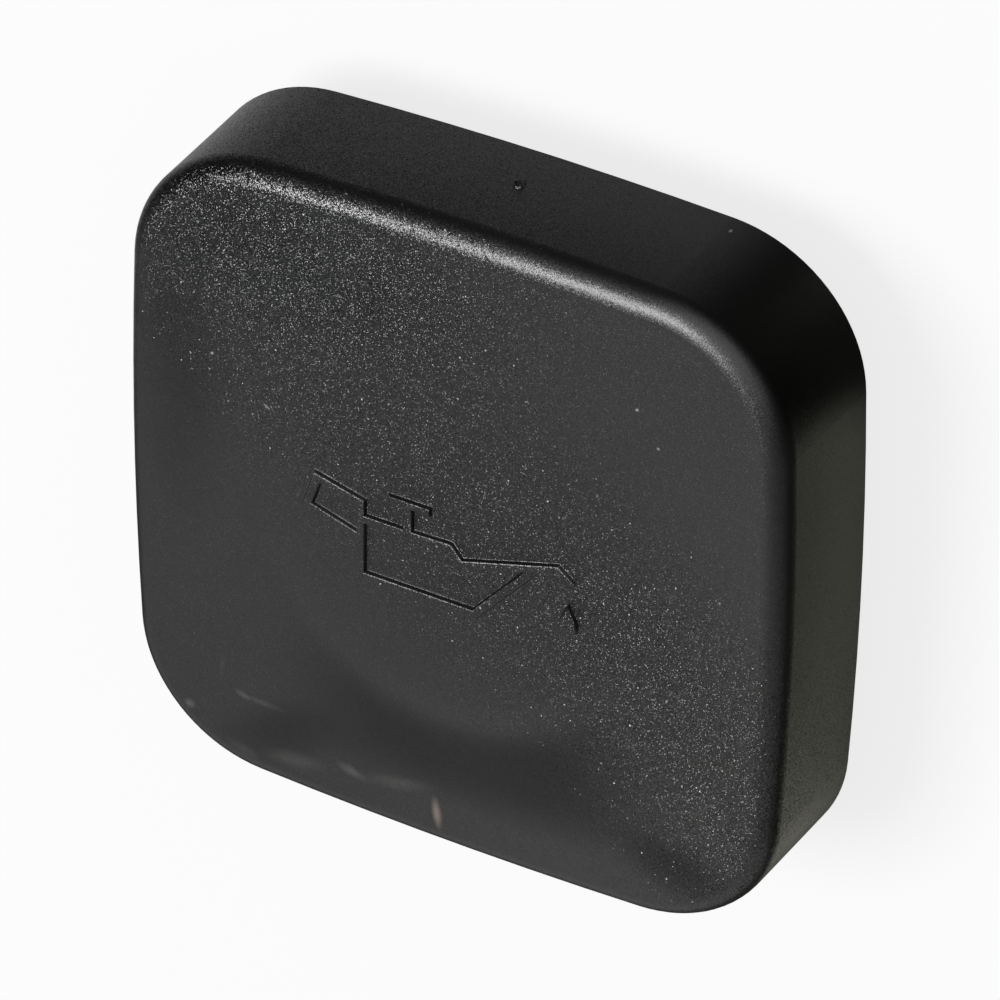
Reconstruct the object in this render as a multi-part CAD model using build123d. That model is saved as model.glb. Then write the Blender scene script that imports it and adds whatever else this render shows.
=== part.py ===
from build123d import *
import math
import os

# Oil filler cap: a square hand cap and its bayonet plug in one moulding, and the rubber ring it seals with.
# Frame, in millimetres: the origin is on the axis at the sealing plane, where the ring meets the filler neck.
# +Z points out of the front face, +Y is the upright of the sign on that face, +X is to the sign's right.

# Hand cap, measured at its rim
COVER_WIDTH = 66.0
COVER_DEPTH = 14.4
CORNER_RADIUS = 13.75
SIDE_RADIUS = 418.0
DRAFT_ANGLE = 1.3
FRONT_EDGE_RADIUS = 2.2
RIM_EDGE_CHAMFER = 0.3
SKIRT_WALL = 2.3
FACE_THICKNESS = 2.5
INNER_EDGE_CHAMFER = 0.8

# Bayonet plug
PLUG_RADIUS = 19.0
PLUG_WALL = 2.3
PLUG_LEAD_IN = 1.0
PLUG_INNER_CHAMFER = 0.4
PLUG_ROOT_CHAMFER = 0.8
LUG_COUNT = 2
LUG_REACH = 3.4
LUG_ANGLE = 52.0
LUG_DEPTH = 8.0
LUG_THICKNESS = 4.0
LUG_RAMP_RISE = 0.9
LUG_EDGE_RADIUS = 0.8
LUG_TO_FOOT = 3.5

# Sealing ring and the groove and rib that keep it in place
SEAL_WIDTH = 4.8
SEAL_THICKNESS = 3.0
SEAL_EDGE_CHAMFER = 0.6
SEAL_GROOVE_DEPTH = 0.4
SEAL_CLEARANCE = 0.1
SEAL_SHOULDER_GAP = 0.3
SEAL_RIB_CLEARANCE = 0.3
SEAL_RIB_WALL = 1.2
SEAL_RIB_HEIGHT = 1.5

# Gussets between the seal's rib and the skirt
GUSSET_COUNT = 8
GUSSET_WALL = 1.4
GUSSET_SLOPE = 40.0
GUSSET_RIM_SETBACK = 3.6

# Levels along the axis
CEILING = SEAL_THICKNESS
FRONT = CEILING + FACE_THICKNESS
RIM = FRONT - COVER_DEPTH
LUG_TOP = -LUG_DEPTH
LUG_BOTTOM = LUG_TOP - LUG_THICKNESS
FOOT = LUG_BOTTOM - LUG_TO_FOOT

# Radii about the axis
PLUG_BORE = PLUG_RADIUS - PLUG_WALL
GROOVE_RADIUS = PLUG_RADIUS - SEAL_GROOVE_DEPTH
SEAL_INNER = GROOVE_RADIUS + SEAL_CLEARANCE
SEAL_OUTER = SEAL_INNER + SEAL_WIDTH
SEAL_RIB_INNER = SEAL_OUTER + SEAL_RIB_CLEARANCE
SEAL_RIB_OUTER = SEAL_RIB_INNER + SEAL_RIB_WALL
LUG_RADIUS = PLUG_RADIUS + LUG_REACH

# What stands on the face's underside is rooted this far into it, and into the walls it meets
ROOT = FACE_THICKNESS / 2


def bowed_square(inset):
    """The cap's outline, set in by a distance: four slightly bowed sides joined by tangent corner arcs."""
    half = COVER_WIDTH / 2 - inset
    corner = CORNER_RADIUS - inset
    side = SIDE_RADIUS - inset
    # A side's arc is centred on the axis behind it. A corner's centre lies on the diagonal, where its arc
    # is tangent to both sides, so it is the side radius less the corner radius from each side's centre.
    side_centre = half - side
    reach = side - corner
    corner_centre = (side_centre + math.sqrt(2 * reach**2 - side_centre**2)) / 2
    turn = math.atan2(corner_centre, corner_centre - side_centre)
    end = side * math.sin(turn)
    drop = side_centre + side * math.cos(turn)
    crest = corner_centre + corner * math.sqrt(0.5)
    lower_side = ThreePointArc((-end, -drop), (0, -half), (end, -drop))
    right_corner = ThreePointArc((end, -drop), (crest, -crest), (drop, -end))
    arcs = []
    for quarter in range(4):
        arcs.append(Rot(0, 0, 90 * quarter) * lower_side)
        arcs.append(Rot(0, 0, 90 * quarter) * right_corner)
    return make_face(Curve() + arcs)


def drafted_block(inset, height):
    """A block on the cap's outline that stands on the rim and narrows towards the front by the draft."""
    return extrude(Pos(0, 0, RIM) * bowed_square(inset), amount=height, taper=DRAFT_ANGLE)


def hand_cap():
    """The open-backed square cap: drafted block, rounded front edge, hollowed to its skirt and face."""
    block = drafted_block(0, COVER_DEPTH)
    block = fillet(block.faces().sort_by(Axis.Z)[-1].edges(), FRONT_EDGE_RADIUS)
    hollow = drafted_block(SKIRT_WALL, CEILING - RIM)
    hollow = chamfer(hollow.faces().sort_by(Axis.Z)[-1].edges(), INNER_EDGE_CHAMFER)
    cap = block - hollow
    return chamfer(cap.faces().sort_by(Axis.Z)[0].edges(), RIM_EDGE_CHAMFER)


def turned(*points):
    """A body of revolution about the axis, from the corners of its half section as (radius, height)."""
    return revolve(Plane.XZ * make_face(Polyline(*points, close=True)), axis=Axis.Z)


def plug_tube():
    """The hollow plug, with a lead-in at its foot and the groove at its root that holds the seal."""
    return turned(
        (PLUG_BORE - PLUG_ROOT_CHAMFER, CEILING + ROOT),
        (PLUG_BORE - PLUG_ROOT_CHAMFER, CEILING),
        (PLUG_BORE, CEILING - PLUG_ROOT_CHAMFER),
        (PLUG_BORE, FOOT + PLUG_INNER_CHAMFER),
        (PLUG_BORE + PLUG_INNER_CHAMFER, FOOT),
        (PLUG_RADIUS - PLUG_LEAD_IN, FOOT),
        (PLUG_RADIUS, FOOT + PLUG_LEAD_IN),
        (PLUG_RADIUS, -SEAL_SHOULDER_GAP),
        (GROOVE_RADIUS, -SEAL_SHOULDER_GAP),
        (GROOVE_RADIUS, CEILING + ROOT),
    )


def seal_rib():
    """The low ring on the face's underside that keeps the seal round."""
    return turned(
        (SEAL_RIB_INNER, CEILING + ROOT),
        (SEAL_RIB_INNER, CEILING - SEAL_RIB_HEIGHT),
        (SEAL_RIB_OUTER, CEILING - SEAL_RIB_HEIGHT),
        (SEAL_RIB_OUTER, CEILING + ROOT),
    )


def lug():
    """One bayonet lug: a sector of a ring whose upper side ramps up from its leading end."""
    inner = PLUG_RADIUS - PLUG_WALL / 2
    corners = [(inner, LUG_BOTTOM), (LUG_RADIUS, LUG_BOTTOM), (LUG_RADIUS, LUG_TOP), (inner, LUG_TOP)]
    section = Plane.XZ * make_face(Polyline(*corners, close=True))
    sector = revolve(section, axis=Axis.Z, revolution_arc=LUG_ANGLE)
    sector = Rot(0, 0, -LUG_ANGLE / 2) * sector
    # The cap closes clockwise, so the leading end of the lug on +X is the one towards -Y, and lies lower.
    half_length = LUG_RADIUS * math.sin(math.radians(LUG_ANGLE / 2))
    slope = math.atan2(LUG_RAMP_RISE, 2 * half_length)
    trailing_top = (LUG_RADIUS, half_length, LUG_TOP)
    ramp = Plane(origin=trailing_top, x_dir=(1, 0, 0), z_dir=(0, -math.sin(slope), math.cos(slope)))
    sector = split(sector, bisect_by=ramp, keep=Keep.BOTTOM)
    ends = sector.edges().filter_by(Axis.Z).sort_by_distance((0, 0, LUG_BOTTOM))[-2:]
    return fillet(ends, LUG_EDGE_RADIUS)


def gusset():
    """One stiffening web on +X, from the seal's rib out past the corner, deeper towards the skirt."""
    foot = RIM + GUSSET_RIM_SETBACK
    start = SEAL_RIB_OUTER - SEAL_RIB_WALL / 2
    rib_foot = CEILING - SEAL_RIB_HEIGHT
    deep_from = start + (rib_foot - foot) / math.tan(math.radians(GUSSET_SLOPE))
    profile = Polyline(
        (start, CEILING + ROOT),
        (COVER_WIDTH, CEILING + ROOT),
        (COVER_WIDTH, foot),
        (deep_from, foot),
        (start, rib_foot),
        close=True,
    )
    return extrude(Plane.XZ * make_face(profile), amount=GUSSET_WALL / 2, both=True)


def gussets():
    """The webs all round, half a step off the mid-sides, trimmed inside the skirt's wall."""
    step = 360 / GUSSET_COUNT
    room = drafted_block(SKIRT_WALL / 2, CEILING + ROOT - RIM)
    return [Rot(0, 0, step * (n + 0.5)) * gusset() & room for n in range(GUSSET_COUNT)]


def cap_body():
    """The moulding: hand cap, plug, lugs, seal rib and gussets in one piece."""
    body = hand_cap() + plug_tube() + seal_rib()
    for n in range(LUG_COUNT):
        body += Rot(0, 0, 360 / LUG_COUNT * n) * lug()
    for web in gussets():
        body += web
    return body


def seal_ring():
    """The rubber ring: a flat section with broken edges, seated on the face's underside round the plug."""
    section = Pos((SEAL_INNER + SEAL_OUTER) / 2, SEAL_THICKNESS / 2) * Rectangle(SEAL_WIDTH, SEAL_THICKNESS)
    section = chamfer(section.vertices(), SEAL_EDGE_CHAMFER)
    return revolve(Plane.XZ * section, axis=Axis.Z)


os.makedirs("parts", exist_ok=True)
export_step(cap_body(), "parts/cap_body.step")
export_step(seal_ring(), "parts/seal_ring.step")
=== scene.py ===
# %% [markdown]
# # Oil filler cap
# A square, black, moulded cap that closes an engine's oil filler neck. The solids come from the CAD model.
# This lesson dresses them: it adds the raised oil-can sign, the mark left by the mould's gate and a rounded
# rubber ring, paints the grained plastic, and sets the cap in front of a camera on a pale floor.

import bpy
import numpy as np
from mathutils import Matrix, Vector
from mathutils.geometry import tessellate_polygon


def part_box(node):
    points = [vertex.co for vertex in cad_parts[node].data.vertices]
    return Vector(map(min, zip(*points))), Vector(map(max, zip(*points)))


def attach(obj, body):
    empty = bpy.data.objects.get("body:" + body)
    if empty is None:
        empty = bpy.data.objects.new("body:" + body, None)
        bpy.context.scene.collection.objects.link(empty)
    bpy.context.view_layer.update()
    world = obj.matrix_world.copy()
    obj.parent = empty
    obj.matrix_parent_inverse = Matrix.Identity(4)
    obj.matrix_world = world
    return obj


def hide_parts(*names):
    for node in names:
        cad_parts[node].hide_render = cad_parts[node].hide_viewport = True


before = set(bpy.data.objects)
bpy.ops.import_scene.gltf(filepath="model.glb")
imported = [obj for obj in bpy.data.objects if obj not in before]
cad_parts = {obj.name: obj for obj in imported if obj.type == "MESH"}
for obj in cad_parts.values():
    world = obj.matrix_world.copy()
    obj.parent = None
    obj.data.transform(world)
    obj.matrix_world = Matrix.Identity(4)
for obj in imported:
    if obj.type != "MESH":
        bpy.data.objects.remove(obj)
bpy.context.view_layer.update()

MM = 0.001

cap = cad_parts["cap_body"]
cap_low, cap_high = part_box("cap_body")
FRONT = cap_high[2]
FLOOR = cap_low[2]
print("front face at", round(FRONT / MM, 2), "mm, floor at", round(FLOOR / MM, 2), "mm")

# %% [markdown]
# ## From arrays to a piece
# Every new piece here is worked out as arrays of points, so one helper turns points and faces into an object.
# A grid of rows and columns gives its faces by index sums alone. Blender's own primitives could start such
# shapes too, but then each point would have to be moved afterwards.

# %% Points and faces become a piece
CREASE = np.radians(35)


def grid_faces(rows, columns, close_rows=False, close_columns=False):
    """Quads of a grid: each joins point (i, j) to its next row and column. Closing joins last to first."""
    row_starts = np.arange(rows if close_rows else rows - 1)
    column_starts = np.arange(columns if close_columns else columns - 1)
    i, j = np.meshgrid(row_starts, column_starts, indexing="ij")
    i_next, j_next = (i + 1) % rows, (j + 1) % columns
    corners = [i * columns + j, i_next * columns + j, i_next * columns + j_next, i * columns + j_next]
    return np.stack(corners, -1).reshape(-1, 4)


def make_piece(name, points, faces):
    """An object on body root, smooth but for edges sharper than the crease. Points are in metres."""
    mesh = bpy.data.meshes.new(name)
    mesh.from_pydata(points.reshape(-1, 3).tolist(), [], [list(face) for face in faces])
    mesh.validate()
    mesh.shade_smooth()
    mesh.set_sharp_from_angle(angle=CREASE)
    piece = bpy.data.objects.new(name, mesh)
    bpy.context.scene.collection.objects.link(piece)
    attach(piece, "root")
    print(name, "has", len(mesh.vertices), "points and", len(mesh.polygons), "faces")
    return piece


print("a grid of 3 by 3 points has", len(grid_faces(3, 3)), "faces")

# %% [markdown]
# ## The oil-can sign
# The mould cuts a line drawing of an oil can into the front face, so it stands up as flat-topped strokes
# about a millimetre wide. It could be drawn as curves with a bevel, but a bevelled curve is round and its
# strokes pile up where they meet. Here the drawing is one region with two holes. A wall profile is carried
# round each of its outlines, and the flat top is filled between the walls.

# %% Lines that meet and lines beside them
def line_cross(p, p_way, q, q_way):
    """Where the line from p along p_way meets the line from q along q_way."""
    steps = np.linalg.solve(np.column_stack([p_way, -np.array(q_way)]), np.subtract(q, p))
    return np.add(p, steps[0] * np.array(p_way))


def beside(p, way, distance):
    """A point set off to the left of a direction by a distance."""
    left = np.array([-way[1], way[0]]) / np.hypot(*way)
    return np.add(p, distance * left)


print("the diagonals of a unit square meet at", line_cross((0, 0), (1, 1), (1, 0), (-1, 1)))

# %% Measures of the oil can
STROKE = 1.0
LEFT, BASE, TOP = -8.9, -6.13, 0.87
HANDLE_TIP = (-13.09, 3.72)
HANDLE_TOP_WAY = (5.1, -1.27)
HANDLE_LEFT_WAY = (-0.73, -2.17)
HANDLE_FOOT_WAY = (4.29, -1.29)
HANDLE_FOOT = (-13.17, 0.26)
NECK_TOP = (0.72, 1.0)
NECK_FOOT = (1.8, -0.3)
SPOUT_BEND = (11.23, 2.54)
SPOUT_TIP = (13.09, 1.07)
SPOUT_LIP = (12.32, 0.4)
BODY_TOE = (3.27, BASE)
BODY_SIDE_WAY = (6.05, 7.02)
STEM = (-4.19, -3.15)
BAR = (-5.66, -1.37)
BAR_FOOT, BAR_TOP = 2.95, 3.89

can_length, can_height = SPOUT_TIP[0] - HANDLE_FOOT[0], BAR_TOP - BASE
print("the can is about", round(can_length, 1), "mm long and", round(can_height, 1), "mm high")

# %% Outline of the oil can
UP, ACROSS = (0, 1), (1, 0)

spout_way = np.subtract(SPOUT_BEND, NECK_FOOT)
neck_way = np.subtract(NECK_FOOT, NECK_TOP)
drip_way = np.subtract(SPOUT_TIP, SPOUT_BEND)
spout_under = beside(NECK_FOOT, spout_way, -STROKE)
drip_under = beside(SPOUT_BEND, drip_way, -STROKE)
neck_under = beside(NECK_TOP, neck_way, -STROKE)
side_inner = beside(BODY_TOE, BODY_SIDE_WAY, STROKE)
foot_under = beside(HANDLE_FOOT, HANDLE_FOOT_WAY, -STROKE)
left_inner = beside(HANDLE_TIP, HANDLE_LEFT_WAY, STROKE)
top_inner = beside(HANDLE_TIP, HANDLE_TOP_WAY, -STROKE)

can_outline = np.array([
    HANDLE_TIP,
    line_cross(HANDLE_TIP, HANDLE_LEFT_WAY, foot_under, HANDLE_FOOT_WAY),
    line_cross(foot_under, HANDLE_FOOT_WAY, (LEFT, 0), UP),
    (LEFT, BASE),
    BODY_TOE,
    line_cross(BODY_TOE, BODY_SIDE_WAY, spout_under, spout_way),
    line_cross(spout_under, spout_way, drip_under, drip_way),
    SPOUT_LIP,
    SPOUT_TIP,
    SPOUT_BEND,
    NECK_FOOT,
    NECK_TOP,
    (STEM[1], TOP),
    (STEM[1], BAR_FOOT),
    (BAR[1], BAR_FOOT),
    (BAR[1], BAR_TOP),
    (BAR[0], BAR_TOP),
    (BAR[0], BAR_FOOT),
    (STEM[0], BAR_FOOT),
    (STEM[0], TOP),
    (LEFT + STROKE, TOP),
    line_cross(HANDLE_TIP, HANDLE_TOP_WAY, (LEFT + STROKE, 0), UP),
])
handle_hole = np.array([
    line_cross(top_inner, HANDLE_TOP_WAY, left_inner, HANDLE_LEFT_WAY),
    line_cross(top_inner, HANDLE_TOP_WAY, (LEFT, 0), UP),
    line_cross(HANDLE_FOOT, HANDLE_FOOT_WAY, (LEFT, 0), UP),
    line_cross(HANDLE_FOOT, HANDLE_FOOT_WAY, left_inner, HANDLE_LEFT_WAY),
])
body_hole = np.array([
    (LEFT + STROKE, TOP - STROKE),
    line_cross((0, TOP - STROKE), ACROSS, neck_under, neck_way),
    line_cross(neck_under, neck_way, spout_under, spout_way),
    line_cross(spout_under, spout_way, side_inner, BODY_SIDE_WAY),
    line_cross(side_inner, BODY_SIDE_WAY, (0, BASE + STROKE), ACROSS),
    (LEFT + STROKE, BASE + STROKE),
])
print("corners of the can and its holes:", len(can_outline), len(handle_hole), len(body_hole))

# %% Outline of the drop
DROP_CENTRE = np.array((12.27, -2.82))
DROP_HALF = (1.35, 1.68)
DROP_POINTS = 48
PEAR = 1.5


def drop_outline():
    """A pear curve: height is the cosine of an angle, and width its sine times a power of the sine of half
    the angle."""
    angle = np.linspace(0, 2 * np.pi, DROP_POINTS, endpoint=False)
    width = np.sin(angle) * np.sin(angle / 2) ** PEAR
    return DROP_CENTRE + np.column_stack([-DROP_HALF[0] * width, DROP_HALF[1] * np.cos(angle)])


drop = drop_outline()
drop_widest = drop[np.argmax(drop[:, 0])]
drop_bulb = np.array((DROP_CENTRE[0], drop_widest[1]))
drop_radius = drop_widest[0] - DROP_CENTRE[0]
print("the drop is", round(2 * drop_radius, 2), "mm wide at", drop_bulb.round(2))

# %% Wall of a stroke
SIGN_HEIGHT, SIGN_SUNK = 0.4, 0.05
SIGN_DRAFT = np.radians(17)
SIGN_FOOT, SIGN_EDGE = 0.08, 0.18
FOOT_START = 0.15
FOOT_STEPS, EDGE_STEPS = 5, 7


def stroke_wall():
    """Wall of a stroke as (inset, height): a hollow arc up from the face, a straight wall with draft, and an
    arc onto the flat top. The straight wall, run on down to the face, would start at inset 0."""
    steep = np.pi / 2 - SIGN_DRAFT
    climb = np.linspace(FOOT_START, steep, FOOT_STEPS)
    foot_height = SIGN_FOOT * (1 - np.cos(climb))
    foot_inset = np.tan(SIGN_DRAFT) * foot_height[-1] + SIGN_FOOT * (np.sin(climb) - np.sin(steep))
    turn = np.linspace(SIGN_DRAFT, np.pi / 2, EDGE_STEPS)
    shoulder = SIGN_HEIGHT - SIGN_EDGE * (1 - np.sin(SIGN_DRAFT))
    edge_inset = np.tan(SIGN_DRAFT) * shoulder + SIGN_EDGE * (np.cos(SIGN_DRAFT) - np.cos(turn))
    edge_height = shoulder + SIGN_EDGE * (np.sin(turn) - np.sin(SIGN_DRAFT))
    inset = np.concatenate([foot_inset[:1], foot_inset, edge_inset])
    height = np.concatenate([[-SIGN_SUNK], foot_height, edge_height])
    return np.column_stack([inset, height])


print("a stroke's wall leans in by", round(float(stroke_wall()[-1, 0]), 2), "mm")

# %% Raise an outline into a flat-topped stroke
def at_heights(plan, height):
    """Points in plan, one row for each corner, with the wall's heights along every row."""
    level = np.broadcast_to(height[None, :, None], plan.shape[:2] + (1,))
    return np.concatenate([plan, level], axis=-1)


def raised(outline):
    """Wall profile carried round a closed outline. At a corner, the inset runs along the mitre: the sum of
    both sides' inward normals, lengthened so that each side still moves in by the full inset."""
    side = np.roll(outline, -1, axis=0) - outline
    inward = np.column_stack([-side[:, 1], side[:, 0]]) / np.linalg.norm(side, axis=1, keepdims=True)
    before = np.roll(inward, 1, axis=0)
    mitre = (before + inward) / (1 + np.sum(before * inward, axis=1, keepdims=True))
    inset, height = stroke_wall().T
    return at_heights(outline[:, None, :] + mitre[:, None, :] * inset[None, :, None], height)


def raised_drop(outline, centre, radius):
    """Wall profile round a drop. A drop is a circle and its tangents, so an inset shrinks it towards the
    circle's centre, by the share that the inset has in the radius."""
    inset, height = stroke_wall().T
    return at_heights(centre + (outline - centre)[:, None, :] * (1 - inset / radius)[None, :, None], height)


def sign_piece(name, walls):
    """Walls on every outline, and one flat top filled between the walls' inner edges."""
    faces, rims, start = [], [], 0
    for wall in walls:
        rows, columns = wall.shape[:2]
        faces += list(grid_faces(rows, columns, close_rows=True) + start)
        rims.append(start + np.arange(rows) * columns + columns - 1)
        start += rows * columns
    rim_index = np.concatenate(rims)
    top = tessellate_polygon([[Vector(point) for point in wall[:, -1]] for wall in walls])
    faces += [rim_index[list(triangle)] for triangle in top]
    points = np.concatenate([wall.reshape(-1, 3) for wall in walls]) * MM + (0, 0, FRONT)
    return make_piece(name, points, faces)


sign_can = sign_piece("sign_oil_can", [raised(can_outline), raised(handle_hole), raised(body_hole)])
sign_drop = sign_piece("sign_oil_drop", [raised_drop(drop, drop_bulb, drop_radius)])

# %% [markdown]
# ## The gate mark
# Molten plastic entered the mould through a small gate in the top wall. Where the sprue was torn off, a rough
# little crater is left. A bump map alone stays flat at its edge, so the crater is a real surface: a disc of
# rings and spokes whose height is a rim ridge plus a few waves.

# %% Gate mark on the top wall
GATE_X, GATE_Z = 1.75 * MM, -3.34 * MM
GATE_RADIUS = 0.62 * MM
GATE_RIM = 0.24 * MM
GATE_STRETCH = 1.25
GATE_RINGS, GATE_SPOKES = 14, 40
RIDGE_AT, RIDGE_WIDTH, RIDGE_MEAN = 0.66, 0.2, 0.75
EDGE_DROP, EDGE_POWER = 0.9, 6

# Waves as (height, count, start)
OUTLINE_WAVES = ((0.1, 3, 0.6), (0.06, 5, 0))
RIDGE_WAVES = ((0.25, 3, 2), (0.2, 5, 1))
RIPPLE_ACROSS, RIPPLE_ALONG = ((0.35, 7, 2),), ((1, 6, 1),)


def waves(along, terms):
    """A sum of sines, each of its own height, count and start."""
    return sum(height * np.sin(count * along + start) for height, count, start in terms)


def wall_point(x, z):
    """Point and outward normal of the cap's top wall, found by looking at it from outside along -Y."""
    _, place, normal, _ = cap.ray_cast((x, 2 * cap_high[1], z), (0, -1, 0))
    return place, normal


def gate_mark():
    """Height over the wall is a ridge at two thirds of the radius, broken by three and five waves round the
    rim, over a floor of crossed ripples. It falls to below the wall at the edge."""
    turn = np.arange(GATE_SPOKES) * 2 * np.pi / GATE_SPOKES
    ring, spoke = np.meshgrid(np.linspace(0, 1, GATE_RINGS), turn, indexing="ij")
    outline = 1 + waves(spoke, OUTLINE_WAVES)
    across, along = ring * outline * np.cos(spoke), ring * outline * np.sin(spoke)
    ridge = np.exp(-((ring - RIDGE_AT) / RIDGE_WIDTH) ** 2) * (RIDGE_MEAN + waves(spoke, RIDGE_WAVES))
    ripple = waves(across, RIPPLE_ACROSS) * waves(along, RIPPLE_ALONG) * (1 - ring**2)
    height = ridge + ripple - EDGE_DROP * ring**EDGE_POWER
    place, normal = wall_point(GATE_X, GATE_Z)
    tangent = Vector((0, 0, 1)).cross(normal).normalized()
    upright = normal.cross(tangent)
    tangent, upright, normal, place = (np.array(v) for v in (tangent, upright, normal, place))
    on_wall = across[..., None] * tangent + GATE_STRETCH * along[..., None] * upright
    points = place + GATE_RADIUS * on_wall + GATE_RIM * height[..., None] * normal
    faces = grid_faces(GATE_RINGS, GATE_SPOKES, close_columns=True)
    return make_piece("gate_mark", points, faces)


gate = gate_mark()

# %% [markdown]
# ## The sealing ring
# The rubber ring under the cap is a plain solid in the CAD model. Moulded rubber has no hard edges, so a
# softer ring stands for it. A Bevel modifier could round a copy of the solid, but the copy's loose triangles
# would have to be merged first. A squared-off oval, carried round the axis, takes one formula.

# %% Rubber ring
SEAL_AROUND, SEAL_ACROSS = 160, 40
SQUARENESS = 5.0

seal_low, seal_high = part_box("seal_ring")
seal_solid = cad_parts["seal_ring"].data
seal_points = np.empty(3 * len(seal_solid.vertices))
seal_solid.vertices.foreach_get("co", seal_points)
seal_radii = np.hypot(*seal_points.reshape(-1, 3).T[:2])


def seal_ring():
    """A superellipse, where the powers of both offsets add up to one, turned about the axis."""
    around, across = np.meshgrid(np.arange(SEAL_AROUND) * 2 * np.pi / SEAL_AROUND,
                                 np.arange(SEAL_ACROSS) * 2 * np.pi / SEAL_ACROSS, indexing="ij")
    power = 2 / SQUARENESS
    out = np.sign(np.cos(across)) * np.abs(np.cos(across)) ** power
    up = np.sign(np.sin(across)) * np.abs(np.sin(across)) ** power
    middle, half = (seal_radii.max() + seal_radii.min()) / 2, (seal_radii.max() - seal_radii.min()) / 2
    radius = middle + half * out
    level = (seal_high[2] + seal_low[2]) / 2 + (seal_high[2] - seal_low[2]) / 2 * up
    points = np.stack([radius * np.cos(around), radius * np.sin(around), level], -1)
    faces = grid_faces(SEAL_AROUND, SEAL_ACROSS, close_rows=True, close_columns=True)
    return make_piece("seal_ring_rounded", points, faces)


seal = seal_ring()
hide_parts("seal_ring")

# %% [markdown]
# ## Shader maths
# A material is a graph of nodes, and sums of masks are hard to read as a graph. This class wraps one output
# socket, so that a sum written in Python adds the Math nodes for it, and one method adds any other node.

# %% A socket that takes part in sums
class Signal:
    """One output socket of a node tree. Operators add Math nodes, and node() adds any other node."""

    def __init__(self, tree, socket=None):
        self.tree = tree
        self.socket = socket

    def node(self, kind, settings=(), sockets=(), out=0):
        """Adds a node: its settings come first, then its sockets get values or links. Returns one output."""
        made = self.tree.nodes.new(kind)
        for name, value in dict(settings).items():
            setattr(made, name, value)
        for key, value in dict(sockets).items():
            if isinstance(value, Signal):
                self.tree.links.new(value.socket, made.inputs[key])
            else:
                made.inputs[key].default_value = value
        return Signal(self.tree, made.outputs[out] if made.outputs else None)

    def math(self, operation, a, b=0.0):
        """Adds a Math node on one or two values."""
        return self.node("ShaderNodeMath", {"operation": operation}, {0: a, 1: b})

    def __add__(self, other):
        return self.math("ADD", self, other)

    def __sub__(self, other):
        return self.math("SUBTRACT", self, other)

    def __rsub__(self, other):
        return self.math("SUBTRACT", other, self)

    def __mul__(self, other):
        return self.math("MULTIPLY", self, other)

    def __pow__(self, other):
        return self.math("POWER", self, other)

    def __rpow__(self, other):
        return self.math("POWER", other, self)

    __radd__ = __add__
    __rmul__ = __mul__

    def ramp(self, low, high):
        """0 up to low, 1 from high on, and a smooth step between; low may be the greater."""
        return self.node("ShaderNodeMapRange", {"interpolation_type": "SMOOTHSTEP"},
                         {"Value": self, "From Min": low, "From Max": high})

    def blend(self, low, high):
        """A colour that goes from low to high as this goes from 0 to 1."""
        return self.node("ShaderNodeMix", {"data_type": "RGBA"}, {0: self, 6: low, 7: high}, out=2)

# %% Short cuts for nodes
def vector_math(start, operation, *operands, out=0):
    """Adds a Vector Math node, for colours and vectors, which a Math node would turn grey."""
    return start.node("ShaderNodeVectorMath", {"operation": operation}, dict(enumerate(operands)), out=out)


def grey(value):
    """A colour of one grey level."""
    return (value, value, value, 1.0)


def new_material(name):
    """A material with an empty graph, and a Signal that starts it."""
    material = bpy.data.materials.new(name)
    material.use_nodes = True
    material.node_tree.nodes.clear()
    return material, Signal(material.node_tree)

# %% [markdown]
# ## Places on the cap
# The finish isn't the same everywhere: the grain is crisp in one part and rubbed in another, and dust has
# settled here and there, partly as painted light. A painted map could say where, but a map is a picture that
# has to be kept with the model. Sums of the object's own coordinates do the same and never need unwrapping.

# %% Where a point is
FACE_LEVEL = FRONT / MM
MARK_DEPTH = 3.0
ON_FRONT = (FACE_LEVEL - 1.0, FACE_LEVEL - 0.1)


class Place:
    """Where a point is on the cap: x, y, z and r, from the axis, in millimetres, and the normal there."""

    def __init__(self, start):
        self.start = start
        self.point = start.node("ShaderNodeTexCoord", out="Object")
        self.normal = start.node("ShaderNodeNewGeometry", out="Normal")
        axes = [start.node("ShaderNodeSeparateXYZ", {}, {0: self.point}, out=axis) for axis in range(3)]
        self.x, self.y, self.z = [axis * (1 / MM) for axis in axes]
        self.r = (self.x * self.x + self.y * self.y) ** 0.5

    def noise(self, size, detail=0.0):
        """A smooth noise between 0 and 1, with lumps of a given size in metres."""
        return self.start.node("ShaderNodeTexNoise", {}, {
            "Vector": self.point, "Scale": 1 / size, "Detail": detail})

    def mark(self, centre, half, turn=0.0):
        """A soft oval, 1 in its middle and 0 at its edge. A Mapping node makes it a unit ball."""
        local = self.start.node("ShaderNodeMapping", {"vector_type": "TEXTURE"}, {
            "Vector": self.point, "Location": Vector(centre) * MM,
            "Rotation": (0, 0, np.radians(turn)), "Scale": Vector(half) * MM})
        return vector_math(self.start, "LENGTH", local, out="Value").ramp(1.0, 0.0)

    def front_mark(self, centre, half, turn):
        """A soft oval on the front face."""
        return self.mark((*centre, FACE_LEVEL), (*half, MARK_DEPTH), turn)


print("marks on the front lie at", round(FACE_LEVEL, 2), "mm")
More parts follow.
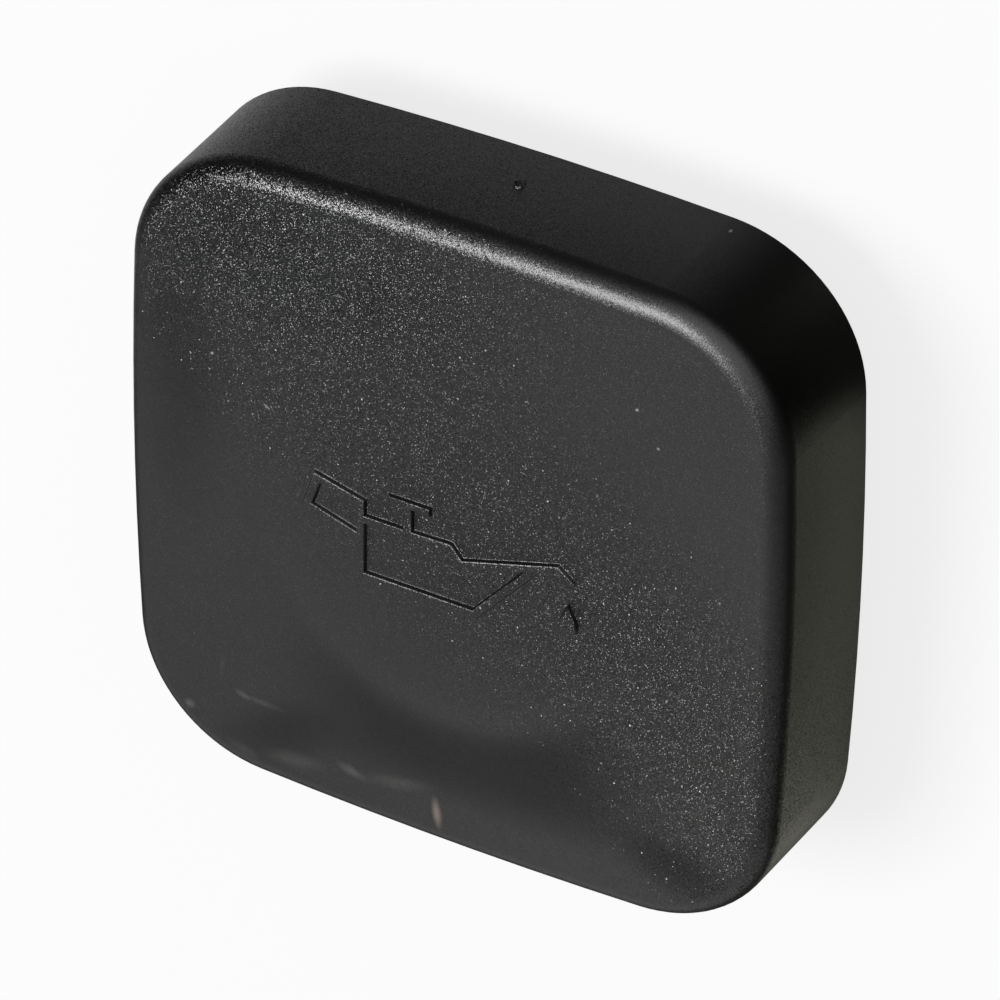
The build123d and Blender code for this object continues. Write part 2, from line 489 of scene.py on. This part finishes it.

# %% [markdown]
# ## Grained black plastic
# The mould was spark-eroded, so the plastic has a fine grain. Seen from a step away it is a dull black
# sheen, with glints wherever a facet of the surface happens to face the lamp. Noise in the colour would look
# like salt that never moves. Here each cell of a Voronoi texture is a facet that leans its own way, so the
# glints come from the lamp and wander as the view turns. A share of the cells are painted matte black, as
# painted shade in the grain's pit cells, and a few coarser grits lean further than the rest and flash by
# themselves.

# %% Where the grain is crisp and where it is faint
BAND_WAY = (0.61, 0.79)
BAND_RISE, BAND_FALL = (-16, 4), (26, 6)
TOP_RISE, TOP_LEFT_RISE, TOP_RIGHT_FALL = (13, 28), (-34, -24), (22, -10)
RIGHT_RISE = (8, 24)
BAND_CRISP, RIGHT_CRISP, TOP_CRISP = 0.56, 0.34, 0.7


def crisp_grain(at):
    """How crisp the grain is: most in a wide band from the top left to the lower right, above all along the
    top left, and fainter towards the other two corners. 0 is faint, and 1 is crisp."""
    across = BAND_WAY[0] * at.x + BAND_WAY[1] * at.y
    band = across.ramp(*BAND_RISE) * across.ramp(*BAND_FALL)
    top_left = at.y.ramp(*TOP_RISE) * at.x.ramp(*TOP_RIGHT_FALL) * at.x.ramp(*TOP_LEFT_RISE)
    return band * (BAND_CRISP + RIGHT_CRISP * at.x.ramp(*RIGHT_RISE)) + TOP_CRISP * top_left


print("the crisp band is", BAND_FALL[0] - BAND_RISE[0], "mm wide with its soft edges")

# %% Where the front is rubbed and where it is dull
SICKLE_RING = (17.3, 21.5)
SICKLE_TOP, SICKLE_FOOT = (-8, -20), (-28.5, -22.5)
SICKLE_LEFT, SICKLE_RIGHT = (-20, -2), (24, 8)
RING_INNER, RING_OUTER, RING_TOP = (15.0, 17.5), (20.0, 18.0), (-3, -12)

# Patches as (centre, half sizes, turn, strength)
RUBBED = (
    ((-17.0, -26.3), (9.0, 4.2), 27, 0.75),
    ((23.5, -25.6), (8.5, 4.2), -14, 0.85),
    ((-7.5, 22.8), (4.5, 4.5), 0, 0.3),
    ((-27.0, 10.0), (7.0, 22.0), 0, 0.5),
)


def rubbed_smooth(at):
    """How far handling has smoothed the front, which mirrors more of the dark there: a sickle outside the
    ring where the plug stands behind, and each patch as a soft oval."""
    sickle = at.r.ramp(*SICKLE_RING) * at.y.ramp(*SICKLE_TOP) * at.y.ramp(*SICKLE_FOOT)
    rubbed = sickle * at.x.ramp(*SICKLE_LEFT) * at.x.ramp(*SICKLE_RIGHT)
    for centre, half, turn, strength in RUBBED:
        rubbed = rubbed + strength * at.front_mark(centre, half, turn)
    return rubbed * at.z.ramp(*ON_FRONT)


def dull_ring(at):
    """A duller line just inside that ring, in the lower half."""
    ring = at.r.ramp(*RING_INNER) * at.r.ramp(*RING_OUTER)
    return ring * at.y.ramp(*RING_TOP) * at.z.ramp(*ON_FRONT)


print("the front has", len(RUBBED), "rubbed patches and a sickle")

# %% Dust, scuffs and painted light
# Dust colour; the thin layer towards the lower right also uses it as painted light.
DUST_AND_LIGHT = (0.25, 0.235, 0.225, 1.0)
FILM_LIGHT_WAY, FILM_LIGHT_RISE, FILM_AND_LIGHT = (0.8, -0.6), (0, 36), 0.032
LEAST_DUST_AND_LIGHT, PATCHY_DUST_AND_LIGHT, DUST_AND_LIGHT_PATCH = 0.4, 1.2, 0.7 * MM
WALL_SPECK, WALL_SPECK_HALF = (20.1, 32.6, -6.8), (0.2, 3.0, 0.35)
SILT = (0.118, 0.094, 0.079, 1.0)
SILT_PLACE, SILT_HALF, SILT_TURN, SILT_STRENGTH = (-0.7, -28.9), (0.65, 2.2), 8, 0.85

# Scuffs as (centre, half sizes, turn, strength)
SCUFFS = (
    ((-18.8, -23.65), (3.1, 0.5), -1, 0.06),
    ((-20.8, -23.5), (1.1, 0.5), -14, 0.10),
    ((-26.4, -26.6), (0.8, 0.7), 0, 0.14),
    ((-20.8, -29.6), (2.4, 0.9), -14, 0.05),
    ((-15.5, -28.7), (4.2, 1.3), 6, 0.06),
    ((-9.5, -27.7), (2.0, 0.8), -16, 0.11),
    ((-4.6, -27.1), (5.0, 1.1), 12, 0.06),
    ((-22.9, -21.0), (1.9, 0.4), 82, 0.03),
    ((18.3, 20.9), (0.25, 0.2), 30, 1.0),
    ((20.4, 17.7), (0.22, 0.2), 0, 0.8),
    ((-23.5, 12.2), (0.25, 0.2), 40, 1.0),
    ((-18.0, 8.5), (0.55, 0.2), -35, 0.6),
)


def dust_and_painted_light(at, rubbed):
    """How much dust lies on the cap: a thin layer that lightens the front towards its lower right, partly
    dust and partly painted light, wiped off where it is rubbed, a speck on the top wall, and each scuff as a
    soft oval of its own."""
    film_and_light = (FILM_LIGHT_WAY[0] * at.x + FILM_LIGHT_WAY[1] * at.y).ramp(*FILM_LIGHT_RISE) * at.z.ramp(*ON_FRONT) * (1 - rubbed)
    # The thin layer is partly dust and partly painted light that lightens the front's lower right.
    dust = FILM_AND_LIGHT * film_and_light + at.mark(WALL_SPECK, WALL_SPECK_HALF)
    for centre, half, turn, strength in SCUFFS:
        dust = dust + strength * at.front_mark(centre, half, turn)
    return dust * (LEAST_DUST_AND_LIGHT + PATCHY_DUST_AND_LIGHT * at.noise(DUST_AND_LIGHT_PATCH, 2.0))


def silt_streak(at):
    """A short run of dried silt at the lower edge."""
    return SILT_STRENGTH * at.front_mark(SILT_PLACE, SILT_HALF, SILT_TURN)


print("the front has", len(SCUFFS), "scuffs and specks")

# %% Facets and shaded pit cells
FACET_SIZE, GRIT_SIZE = 0.058 * MM, 0.125 * MM
STEEPEST, GRIT_STEEPEST = 0.6, 0.62
RARE = 30

# Weights that draw a cell's lots from its colour
HOW_STEEP = (617.3, 373.9, 239.1)
HOW_RARE = (283.1, 547.7, 419.3)
HOW_SHADED = (151.7, 411.3, 733.9)


def grain_cells(at, size):
    """A random colour for every cell of a grain."""
    return at.start.node("ShaderNodeTexVoronoi", {}, {"Vector": at.point, "Scale": 1 / size}, out="Color")


def lot(at, cell, weights):
    """A lot from 0 to 1 for every cell: its colour, weighed and with its whole part dropped."""
    return at.start.math("FRACT", vector_math(at.start, "DOT_PRODUCT", cell, weights, out="Value"))


def leaning(at, cell, far):
    """How a cell leans: its colour, made signed and of unit length, is the way, and far is the length."""
    way = vector_math(at.start, "MULTIPLY_ADD", cell, (2, 2, 2), (-1, -1, -1))
    way = vector_math(at.start, "NORMALIZE", way)
    return at.start.node("ShaderNodeVectorMath", {"operation": "SCALE"}, {0: way, "Scale": far})


def facets(at, cell, steepness, gritty):
    """A normal for every cell, which leans its own way, by a lot. Where the front is gritty, a few coarser
    grits lean further: those where a high power of a lot, which is near 0 in most, isn't."""
    grit = grain_cells(at, GRIT_SIZE)
    rare = lot(at, grit, HOW_RARE) ** RARE
    fine = leaning(at, cell, STEEPEST * steepness * lot(at, cell, HOW_STEEP) * (1 - rare))
    coarse = leaning(at, grit, GRIT_STEEPEST * rare * gritty)
    lean = vector_math(at.start, "ADD", fine, coarse)
    return vector_math(at.start, "NORMALIZE", vector_math(at.start, "ADD", at.normal, lean))


def shaded_pits(at, cell, share):
    """1 in a share of the cells: pit cells painted matte black, as painted shade that no light comes back
    from.
    """
    return at.start.math("LESS_THAN", lot(at, cell, HOW_SHADED), share)


print("facets of", round(FACET_SIZE / MM, 3), "mm and grits of", round(GRIT_SIZE / MM, 3), "mm")

# %% Plastic
PLASTIC, PLASTIC_IOR = 0.002, 1.6
MOTTLE, MOTTLE_SIZE, MOTTLE_RAMP = 0.2, 6 * MM, (0.3, 0.7)
# Share of cells painted matte black as painted shade in the grain, where it is crisp.
PIT_SHADE_SHARE = 0.12
SHEEN, FACET_SHEEN, RUBBED_SHEEN, RING_SHEEN = 0.38, 0.21, 0.22, 0.40
UPWARD, WALL_CRISP, GRITTY = (0.5, 0.85), 0.55, (0.0, 0.3)
LEAST_LEAN, FRONT_LEAN, CRISP_LEAN, RUBBED_FLAT = 0.22, 0.12, 0.64, 0.3


def plastic_finish():
    """Black plastic: dust and silt colour it, with painted light in the thin layer towards the lower right
    and painted shade in the pit cells, and rubbing and crispness set its sheen and its facets.
    """
    material, start = new_material("grained_black_plastic")
    at = Place(start)
    rubbed = rubbed_smooth(at)
    upward = start.node("ShaderNodeSeparateXYZ", {}, {0: at.normal}, out=2).ramp(*UPWARD)
    crisp = crisp_grain(at) * (WALL_CRISP + (1 - WALL_CRISP) * upward)
    mottle = at.noise(MOTTLE_SIZE, 2.0).ramp(*MOTTLE_RAMP)
    black = mottle.blend(grey((1 - MOTTLE) * PLASTIC), grey((1 + MOTTLE) * PLASTIC))
    # Dust and painted light: the thin layer towards the lower right lightens the front.
    dusty_and_lit = dust_and_painted_light(at, rubbed).blend(black, DUST_AND_LIGHT)
    colour = silt_streak(at).blend(dusty_and_lit, SILT)
    roughness = (SHEEN + (FACET_SHEEN - SHEEN) * crisp + (RUBBED_SHEEN - SHEEN) * rubbed
                 + (RING_SHEEN - SHEEN) * dull_ring(at))
    steepness = (LEAST_LEAN + FRONT_LEAN * upward + CRISP_LEAN * crisp) * (1 - RUBBED_FLAT * rubbed)
    cell = grain_cells(at, FACET_SIZE)
    normal = facets(at, cell, steepness, crisp.ramp(*GRITTY))
    shader = start.node("ShaderNodeBsdfPrincipled", {}, {
        "Base Color": colour, "Roughness": roughness, "IOR": PLASTIC_IOR, "Normal": normal})
    # Painted shade: a matte black diffuse stands in for the plastic in the pit cells.
    dull = start.node("ShaderNodeBsdfDiffuse", {}, {"Color": grey(PLASTIC)})
    surface = start.node("ShaderNodeMixShader", {}, {0: shaded_pits(at, cell, PIT_SHADE_SHARE * crisp), 1: shader, 2: dull})
    start.node("ShaderNodeOutputMaterial", {}, {"Surface": surface})
    return material


plastic = plastic_finish()
mouldings = (cap, sign_can, sign_drop, gate)
for piece in mouldings:
    piece.data.materials.clear()
    piece.data.materials.append(plastic)
print("plastic of", len(plastic.node_tree.nodes), "nodes on", [piece.name for piece in mouldings])

# %% [markdown]
# ## Rubber
# Moulded rubber is a duller black than the plastic and has a faint bloom. One flat dark colour would look
# like a hole under the cap. So a slow noise lightens it in patches, and a fine one, used as a bump, gives it
# pores.

# %% Rubber
RUBBER, BLOOMED = 0.022, 0.04
RUBBER_SHEEN, BLOOM_SHEEN = 0.6, 0.15
BLOOM_SIZE, BLOOM_RAMP = 3 * MM, (0.35, 0.75)
PORE_SIZE, PORE_DEPTH = 0.3 * MM, 0.01 * MM


def rubber_finish():
    """Black rubber: its bloom lightens and dulls it, and its pores are a fine bump."""
    material, start = new_material("seal_rubber_black")
    at = Place(start)
    bloom = at.noise(BLOOM_SIZE, 3.0).ramp(*BLOOM_RAMP)
    pores = start.node("ShaderNodeBump", {}, {
        "Height": at.noise(PORE_SIZE, 1.0), "Strength": 1.0, "Distance": PORE_DEPTH})
    shader = start.node("ShaderNodeBsdfPrincipled", {}, {
        "Base Color": bloom.blend(grey(RUBBER), grey(BLOOMED)),
        "Roughness": RUBBER_SHEEN + BLOOM_SHEEN * bloom, "Normal": pores})
    start.node("ShaderNodeOutputMaterial", {}, {"Surface": shader})
    return material


rubber = rubber_finish()
seal.data.materials.append(rubber)
print("rubber of", len(rubber.node_tree.nodes), "nodes on", seal.name)

# %% [markdown]
# ## Pale floor
# The cap stands on a sheet of pale paper. A lamp strong enough to make it white would wash out the cap, so
# the paper tells rays apart. The camera sees it nearly white, with the cap's soft shadow, and the cap mirrors
# a painted reflection: a smaller sheet of middle tones with a painted dark patch. The paper is clear from
# below, and under the cap it lets a lamp shine through, so that the cap's hidden side can be looked at too.

# %% Floor
FLOOR_SPAN, FLOOR_POINTS = 3.0, 5


def floor_sheet():
    """A flat square grid at the level of the plug's foot."""
    span = np.linspace(-FLOOR_SPAN / 2, FLOOR_SPAN / 2, FLOOR_POINTS)
    x, y = np.meshgrid(span, span, indexing="ij")
    points = np.stack([x, y, np.full_like(x, FLOOR)], -1)
    mesh = bpy.data.meshes.new("floor")
    mesh.from_pydata(points.reshape(-1, 3).tolist(), [], grid_faces(FLOOR_POINTS, FLOOR_POINTS).tolist())
    sheet = bpy.data.objects.new("floor", mesh)
    bpy.context.scene.collection.objects.link(sheet)
    return sheet


floor = floor_sheet()
print("floor normal", tuple(floor.data.polygons[0].normal))

# %% Paper
LEFT_TONE, TOP_TONE, RIGHT_TONE, FOOT_TONE, FAR_TONE = 0.295, 0.213, 0.425, 0.06, 0.03
TOP_FROM, RIGHT_FROM = (22, 38), (25, 38)
FOOT_FROM, FOOT_UNTIL = (-18, -32), (36, 28)
SHEET_LEFT, SHEET_RIGHT, SHEET_FOOT, SHEET_TOP = (-92, -74), (47, 39), (-60, -46), (52, 42)
# A painted dark patch round the top right corner, seen only in the cap's reflections.
DARK_PATCH_LEFT, DARK_PATCH_FOOT, DARK_PATCH_DEPTH = (11, 29), (9, 17), 0.92
RIGHT_TINT, TINT_FROM = (1.0, 1.0, 0.83, 1.0), (20, 38)
SEEN_TONE, SEEN_GLOW = 0.1, 0.8
WINDOW = (31, 30)


def sheet_tone(at):
    """Tone of the paper as the cap mirrors it, a painted reflection: a small sheet, darker at the top and
    dark at the foot, dark beyond it, with a painted dark patch round the top right corner."""
    near = LEFT_TONE + (TOP_TONE - LEFT_TONE) * at.y.ramp(*TOP_FROM)
    near = near + (RIGHT_TONE - LEFT_TONE) * at.x.ramp(*RIGHT_FROM)
    near = near + (FOOT_TONE - LEFT_TONE) * at.y.ramp(*FOOT_FROM) * at.x.ramp(*FOOT_UNTIL)
    on_sheet = at.x.ramp(*SHEET_LEFT) * at.x.ramp(*SHEET_RIGHT)
    on_sheet = on_sheet * at.y.ramp(*SHEET_FOOT) * at.y.ramp(*SHEET_TOP)
    painted_dark_patch = at.x.ramp(*DARK_PATCH_LEFT) * at.y.ramp(*DARK_PATCH_FOOT)
    return (FAR_TONE + (near - FAR_TONE) * on_sheet) * (1 - DARK_PATCH_DEPTH * painted_dark_patch)


def floor_finish():
    """Paper that the camera sees nearly white and the cap mirrors by its painted tone. It is clear from below
    and, in a window under the cap, to the light of a lamp."""
    material, start = new_material("pale_paper")
    at = Place(start)
    seen = start.node("ShaderNodeBsdfDiffuse", {}, {"Color": grey(SEEN_TONE)})
    glow = start.node("ShaderNodeEmission", {}, {"Color": grey(1.0), "Strength": SEEN_GLOW})
    bright = start.node("ShaderNodeAddShader", {}, {0: seen, 1: glow})
    tint = at.x.ramp(*TINT_FROM).blend(grey(1.0), RIGHT_TINT)
    # Painted reflection: every ray but the camera's sees these painted tones.
    plain = start.node("ShaderNodeBsdfDiffuse", {}, {"Color": sheet_tone(at).blend(grey(0.0), tint)})
    to_camera = start.node("ShaderNodeLightPath", out="Is Camera Ray")
    paper = start.node("ShaderNodeMixShader", {}, {0: to_camera, 1: plain, 2: bright})
    behind = start.node("ShaderNodeNewGeometry", out="Backfacing")
    to_lamp = start.node("ShaderNodeLightPath", out="Is Shadow Ray")
    window = start.math("ABSOLUTE", at.x).ramp(*WINDOW) * start.math("ABSOLUTE", at.y).ramp(*WINDOW)
    see_through = start.math("MAXIMUM", behind, to_lamp * window)
    clear = start.node("ShaderNodeBsdfTransparent")
    sheet = start.node("ShaderNodeMixShader", {}, {0: see_through, 1: paper, 2: clear})
    start.node("ShaderNodeOutputMaterial", {}, {"Surface": sheet})
    return material


paper = floor_finish()
floor.data.materials.append(paper)
print("paper of", len(paper.node_tree.nodes), "nodes on", floor.name)

# %% [markdown]
# ## Light
# A large round soft box overhead, a little to the left, gives the broad bright line along the rounded front
# edge. An even sky would grey the whole cap. So the sky is dark, with a wide glow beyond the cap's foot,
# stronger low down, which the front mirrors, and another on the camera's side. A second soft box lies under
# the paper and lights the hidden side alone.

# %% Lamps
KEY_WAY = Vector((-0.34, 0.15, 0.929)).normalized()
KEY_DISTANCE, KEY_RADIUS, KEY_LEVEL = 2.5, 0.72, 1.35
UNDER_WAY = Vector((0.0, 0.0, -1.0))
UNDER_DISTANCE, UNDER_RADIUS, UNDER_LEVEL = 0.7, 0.4, 1.2


def disc_lamp(name, way, distance, radius, level):
    """A disc lamp that faces the cap. At its level 1, a white sheet that faces it looks just white."""
    light = bpy.data.lights.new(name, "AREA")
    light.shape = "DISK"
    light.size = 2 * radius
    light.energy = level * np.pi**2 * (distance**2 + radius**2)
    lamp = bpy.data.objects.new(name, light)
    lamp.location = way * distance
    lamp.rotation_mode = "QUATERNION"
    lamp.rotation_quaternion = way.to_track_quat("Z", "Y")
    bpy.context.scene.collection.objects.link(lamp)
    print(name, "lamp of", round(light.energy, 2), "W")
    return lamp


disc_lamp("key", KEY_WAY, KEY_DISTANCE, KEY_RADIUS, KEY_LEVEL)
under = disc_lamp("under", UNDER_WAY, UNDER_DISTANCE, UNDER_RADIUS, UNDER_LEVEL)
under.visible_camera = False

# %% Sky
SKY_LEVEL = 0.012
FOOT_GLOW, FOOT_SKEW, FOOT_RISE = 0.45, 0.12, (-0.3, -0.74)
LOW_GLOW, LOW_RISE, LOW_FALL = 0.24, (-0.4, -0.9), (0.6, 0.1)
NEAR_GLOW, NEAR_RISE = 1.29, (0.594, 0.946)
NEAR_WAY = Vector((0.289, 0.597, 0.748)).normalized()


def grey_sky():
    """A dark sky with three glows by direction. The camera itself sees plain white."""
    world = bpy.data.worlds.new("grey_sky")
    world.use_nodes = True
    world.node_tree.nodes.clear()
    start = Signal(world.node_tree)
    to_camera = start.node("ShaderNodeLightPath", out="Is Camera Ray")
    way = start.node("ShaderNodeTexCoord", out="Generated")
    x, y, z = [start.node("ShaderNodeSeparateXYZ", {}, {0: way}, out=axis) for axis in range(3)]
    foot_glow = (FOOT_SKEW * x + y).ramp(*FOOT_RISE)
    low_glow = y.ramp(*LOW_RISE) * z.ramp(*LOW_FALL)
    near_glow = vector_math(start, "DOT_PRODUCT", way, NEAR_WAY, out="Value").ramp(*NEAR_RISE)
    level = SKY_LEVEL + FOOT_GLOW * foot_glow + LOW_GLOW * low_glow + NEAR_GLOW * near_glow
    light = start.node("ShaderNodeBackground", {}, {"Color": grey(1.0), "Strength": level})
    seen = start.node("ShaderNodeBackground", {}, {"Color": grey(1.0), "Strength": 1.0})
    both = start.node("ShaderNodeMixShader", {}, {0: to_camera, 1: light, 2: seen})
    start.node("ShaderNodeOutputWorld", {}, {"Surface": both})
    return world


bpy.context.scene.world = grey_sky()
bpy.context.scene.view_settings.view_transform = "Standard"
print("sky of", len(bpy.context.scene.world.node_tree.nodes), "nodes")

# %% [markdown]
# ## Camera
# The photograph looks down on the cap from beyond its top right corner, with a long lens and the camera
# turned on its side. Moving a camera by hand until the outlines agree takes long. Here it is set by where it
# aims, from which direction, how far and how far turned, and those numbers were fitted to the outline.

# %% Camera
AIM = Vector((2.175, 2.628, 0.0)) * MM
VIEW_AZIMUTH, VIEW_ELEVATION, VIEW_TURN = np.radians((144.879, 45.442, -134.568))
VIEW_DISTANCE = 609.3 * MM
LENS, SENSOR = 254.26, 36.0
NEAREST, FARTHEST = 0.01, 10.0


def photo_camera():
    """A camera that is turned, tilted and swung round the aim, and then moved back from it."""
    data = bpy.data.cameras.new("camera")
    data.lens, data.sensor_width = LENS, SENSOR
    data.clip_start, data.clip_end = NEAREST, FARTHEST
    camera = bpy.data.objects.new("camera", data)
    tilt = Matrix.Rotation(VIEW_AZIMUTH, 4, "Z") @ Matrix.Rotation(np.pi / 2 - VIEW_ELEVATION, 4, "X")
    turned = tilt @ Matrix.Rotation(VIEW_TURN, 4, "Z")
    back = turned.to_3x3() @ Vector((0, 0, 1))
    camera.matrix_world = Matrix.Translation(AIM + VIEW_DISTANCE * back) @ turned
    bpy.context.scene.collection.objects.link(camera)
    bpy.context.scene.camera = camera
    return camera


camera = photo_camera()
print("camera at", [round(v, 4) for v in camera.matrix_world.translation])

# %% [markdown]
# ## Finish
# The dressed cap must be as large as the CAD model. At the end the scene is brought up to date.

# %% Finish
bpy.context.view_layer.update()
